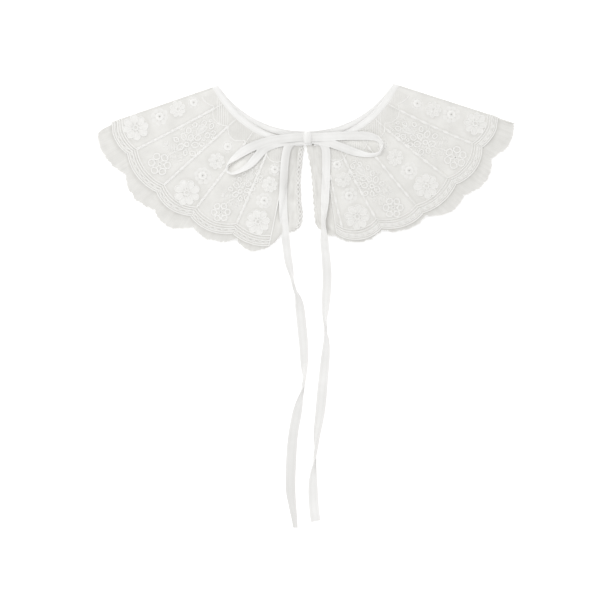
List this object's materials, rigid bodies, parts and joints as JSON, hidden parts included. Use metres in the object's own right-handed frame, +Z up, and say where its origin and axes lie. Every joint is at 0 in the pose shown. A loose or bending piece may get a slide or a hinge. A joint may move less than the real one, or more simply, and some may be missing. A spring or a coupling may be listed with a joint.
{
  "type": "lace false collar",
  "caption": "Flat-laid two-layer lace cape collar with scalloped hems, folded at both shoulders and tied at the front with a narrow ribbon bow and two long tails.",
  "frame": {"origin": "centre of the collar's outline on the surface that it lies on, without the two tails", "axes": "+Z up from that surface, +Y towards the neckline, +X to the picture's right"},
  "size_m": [0.4148, 0.4442, 0.0171],
  "materials": {
    "embroidered_lace": "matt off-white net with white satin-stitch embroidery",
    "organza": "fine plain weave, slightly sheer, off-white",
    "ribbon": "soft matt white ribbon with a faint cross rib"
  },
  "bodies": {
    "root": {"lace_left": "embroidered_lace", "lace_right": "embroidered_lace", "under_left": "organza", "under_right": "organza", "neck_binding": "ribbon", "tie_knot": "ribbon", "bow_loop_left": "ribbon", "bow_loop_right": "ribbon", "tail_left": "ribbon", "tail_right": "ribbon"}
  },
  "joints": []
}
